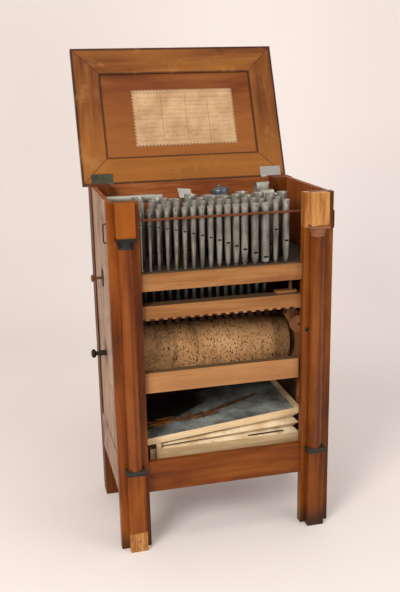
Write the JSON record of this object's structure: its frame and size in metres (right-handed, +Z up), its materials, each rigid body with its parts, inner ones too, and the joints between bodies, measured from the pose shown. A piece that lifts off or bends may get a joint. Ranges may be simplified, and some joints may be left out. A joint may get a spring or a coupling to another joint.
{
  "type": "chamber barrel organ",
  "caption": "Hand-cranked pinned-barrel pipe organ in a column-fronted wooden case, lid open and front panel off.",
  "frame": {"origin": "on the floor, under the middle of the box round the whole object with its lid open", "axes": "+Z up, +X to the viewer's right when facing the columns, +Y from the front to the back"},
  "size_m": [0.674, 0.6134, 1.3945],
  "materials": {
    "polished_wood": "worn shellac polish",
    "rail_wood": "planed, waxed",
    "side_wood": "weathered, thin polish",
    "inner_wood": "rough, unpolished",
    "dark_moulding": "ebonised, worn",
    "barrel_paper": "paper over wood, dull",
    "bellows_paper": "paper over wood, dull",
    "tool_wood": "old, dull",
    "pipe_metal": "oxidised tin alloy, dull",
    "iron": "dark, worn",
    "pin_brass": "tarnished",
    "bellows_leather": "dry, worn",
    "sheet_paper": "aged paper, dull"
  },
  "bodies": {
    "case": {"left_front_post": "polished_wood", "right_front_post": "polished_wood", "rear_posts": "polished_wood", "left_side_panel": "side_wood", "right_side_panel": "side_wood", "back_panel": "inner_wood", "column_shafts": "polished_wood", "column_mouldings": "dark_moulding", "post_blocks": "polished_wood", "front_apron": "polished_wood", "floor_board": "inner_wood", "upper_front_rail": "rail_wood", "middle_front_rail": "rail_wood", "lower_front_rail": "rail_wood", "left_bearer_board": "tool_wood", "right_bearer_board": "tool_wood", "crank_bearing_blocks": "tool_wood", "iron_fittings": "iron", "key_rail": "tool_wood", "wind_chest": "inner_wood", "sound_board": "inner_wood", "front_pipes": "pipe_metal", "rear_pipes": "pipe_metal", "pipe_rack": "tool_wood", "wind_trunk": "inner_wood", "reservoir_ribs": "bellows_leather", "bellows_middle_board": "inner_wood", "feeder_ribs": "bellows_leather", "case_hinge_leaves": "iron"},
    "lid": {"lid_frame": "polished_wood", "lid_panel": "polished_wood", "tune_sheet": "sheet_paper", "lid_hinge_leaves": "iron"},
    "tune_bolt": {"tune_bolt": "iron"},
    "barrel": {"barrel": "barrel_paper", "barrel_pins": "pin_brass", "barrel_arbor": "iron"},
    "worm_wheel": {"worm_wheel": "pin_brass"},
    "crankshaft": {"crankshaft": "iron"},
    "connecting_rod": {"connecting_rod": "tool_wood"},
    "stop": {"stop_knob": "tool_wood"},
    "reservoir": {"reservoir_top_board": "bellows_paper"},
    "feeder": {"feeder_board": "inner_wood"},
    "key_01": {"key_01": "tool_wood"},
    "key_02": {"key_02": "tool_wood"},
    "key_03": {"key_03": "tool_wood"},
    "key_04": {"key_04": "tool_wood"},
    "key_05": {"key_05": "tool_wood"},
    "key_06": {"key_06": "tool_wood"},
    "key_07": {"key_07": "tool_wood"},
    "key_08": {"key_08": "tool_wood"},
    "key_09": {"key_09": "tool_wood"},
    "key_10": {"key_10": "tool_wood"},
    "key_11": {"key_11": "tool_wood"},
    "key_12": {"key_12": "tool_wood"},
    "key_13": {"key_13": "tool_wood"},
    "key_14": {"key_14": "tool_wood"},
    "key_15": {"key_15": "tool_wood"},
    "key_16": {"key_16": "tool_wood"},
    "key_17": {"key_17": "tool_wood"}
  },
  "joints": [
    {"name": "lid_hinge", "type": "hinge", "parent": "case", "child": "lid", "pos_m": [0.01495, 0.11845, 0.9964], "axis": [1, 0, 0], "range_deg": [0, 112.65]},
    {"name": "tune_shift", "type": "slide", "parent": "case", "child": "tune_bolt", "axis": [1, 0, 0], "range_m": [-0.018, 0]},
    {"name": "barrel_turn", "type": "hinge", "parent": "tune_bolt", "child": "barrel", "pos_m": [0.01495, -0.09855, 0.538], "axis": [1, 0, 0], "continuous": true},
    {"name": "wheel_turn", "type": "hinge", "parent": "case", "child": "worm_wheel", "pos_m": [0.01495, -0.09855, 0.538], "axis": [1, 0, 0], "continuous": true},
    {"name": "crankshaft_turn", "type": "hinge", "parent": "case", "child": "crankshaft", "pos_m": [0.25545, -0.27855, 0.609], "axis": [0, 1, 0], "continuous": true},
    {"name": "rod_swing", "type": "hinge", "parent": "crankshaft", "child": "connecting_rod", "pos_m": [0.25545, 0.04305, 0.593], "axis": [0, 1, 0], "continuous": true},
    {"name": "stop_slide", "type": "slide", "parent": "case", "child": "stop", "axis": [1, 0, 0], "range_m": [0, 0.015]},
    {"name": "reservoir_lift", "type": "hinge", "parent": "case", "child": "reservoir", "pos_m": [-0.18005, -0.23355, 0.29452], "axis": [0, -1, 0], "range_deg": [0, 5.5], "deforming": ["reservoir_ribs"]},
    {"name": "feeder_lift", "type": "hinge", "parent": "case", "child": "feeder", "pos_m": [-0.17505, -0.23355, 0.238], "axis": [0, -1, 0], "range_deg": [0, 4.2], "deforming": ["feeder_ribs"]},
    {"name": "key_01_tilt", "type": "hinge", "parent": "case", "child": "key_01", "pos_m": [0.01495, -0.06355, 0.6216], "axis": [-1, 0, 0], "range_deg": [0, 2], "stiffness_Nm_per_rad": 0.3, "springref_deg": -2.86},
    {"name": "key_02_tilt", "type": "hinge", "parent": "case", "child": "key_02", "pos_m": [0.01495, -0.06355, 0.6216], "axis": [-1, 0, 0], "range_deg": [0, 2], "stiffness_Nm_per_rad": 0.3, "springref_deg": -2.86},
    {"name": "key_03_tilt", "type": "hinge", "parent": "case", "child": "key_03", "pos_m": [0.01495, -0.06355, 0.6216], "axis": [-1, 0, 0], "range_deg": [0, 2], "stiffness_Nm_per_rad": 0.3, "springref_deg": -2.86},
    {"name": "key_04_tilt", "type": "hinge", "parent": "case", "child": "key_04", "pos_m": [0.01495, -0.06355, 0.6216], "axis": [-1, 0, 0], "range_deg": [0, 2], "stiffness_Nm_per_rad": 0.3, "springref_deg": -2.86},
    {"name": "key_05_tilt", "type": "hinge", "parent": "case", "child": "key_05", "pos_m": [0.01495, -0.06355, 0.6216], "axis": [-1, 0, 0], "range_deg": [0, 2], "stiffness_Nm_per_rad": 0.3, "springref_deg": -2.86},
    {"name": "key_06_tilt", "type": "hinge", "parent": "case", "child": "key_06", "pos_m": [0.01495, -0.06355, 0.6216], "axis": [-1, 0, 0], "range_deg": [0, 2], "stiffness_Nm_per_rad": 0.3, "springref_deg": -2.86},
    {"name": "key_07_tilt", "type": "hinge", "parent": "case", "child": "key_07", "pos_m": [0.01495, -0.06355, 0.6216], "axis": [-1, 0, 0], "range_deg": [0, 2], "stiffness_Nm_per_rad": 0.3, "springref_deg": -2.86},
    {"name": "key_08_tilt", "type": "hinge", "parent": "case", "child": "key_08", "pos_m": [0.01495, -0.06355, 0.6216], "axis": [-1, 0, 0], "range_deg": [0, 2], "stiffness_Nm_per_rad": 0.3, "springref_deg": -2.86},
    {"name": "key_09_tilt", "type": "hinge", "parent": "case", "child": "key_09", "pos_m": [0.01495, -0.06355, 0.6216], "axis": [-1, 0, 0], "range_deg": [0, 2], "stiffness_Nm_per_rad": 0.3, "springref_deg": -2.86},
    {"name": "key_10_tilt", "type": "hinge", "parent": "case", "child": "key_10", "pos_m": [0.01495, -0.06355, 0.6216], "axis": [-1, 0, 0], "range_deg": [0, 2], "stiffness_Nm_per_rad": 0.3, "springref_deg": -2.86},
    {"name": "key_11_tilt", "type": "hinge", "parent": "case", "child": "key_11", "pos_m": [0.01495, -0.06355, 0.6216], "axis": [-1, 0, 0], "range_deg": [0, 2], "stiffness_Nm_per_rad": 0.3, "springref_deg": -2.86},
    {"name": "key_12_tilt", "type": "hinge", "parent": "case", "child": "key_12", "pos_m": [0.01495, -0.06355, 0.6216], "axis": [-1, 0, 0], "range_deg": [0, 2], "stiffness_Nm_per_rad": 0.3, "springref_deg": -2.86},
    {"name": "key_13_tilt", "type": "hinge", "parent": "case", "child": "key_13", "pos_m": [0.01495, -0.06355, 0.6216], "axis": [-1, 0, 0], "range_deg": [0, 2], "stiffness_Nm_per_rad": 0.3, "springref_deg": -2.86},
    {"name": "key_14_tilt", "type": "hinge", "parent": "case", "child": "key_14", "pos_m": [0.01495, -0.06355, 0.6216], "axis": [-1, 0, 0], "range_deg": [0, 2], "stiffness_Nm_per_rad": 0.3, "springref_deg": -2.86},
    {"name": "key_15_tilt", "type": "hinge", "parent": "case", "child": "key_15", "pos_m": [0.01495, -0.06355, 0.6216], "axis": [-1, 0, 0], "range_deg": [0, 2], "stiffness_Nm_per_rad": 0.3, "springref_deg": -2.86},
    {"name": "key_16_tilt", "type": "hinge", "parent": "case", "child": "key_16", "pos_m": [0.01495, -0.06355, 0.6216], "axis": [-1, 0, 0], "range_deg": [0, 2], "stiffness_Nm_per_rad": 0.3, "springref_deg": -2.86},
    {"name": "key_17_tilt", "type": "hinge", "parent": "case", "child": "key_17", "pos_m": [0.01495, -0.06355, 0.6216], "axis": [-1, 0, 0], "range_deg": [0, 2], "stiffness_Nm_per_rad": 0.3, "springref_deg": -2.86}
  ],
  "couplings": [
    {"joint": "barrel_turn", "follows": "wheel_turn", "ratio": 1},
    {"joint": "crankshaft_turn", "follows": "wheel_turn", "ratio": 45},
    {"joint": "rod_swing", "follows": "wheel_turn", "ratio": -45}
  ]
}
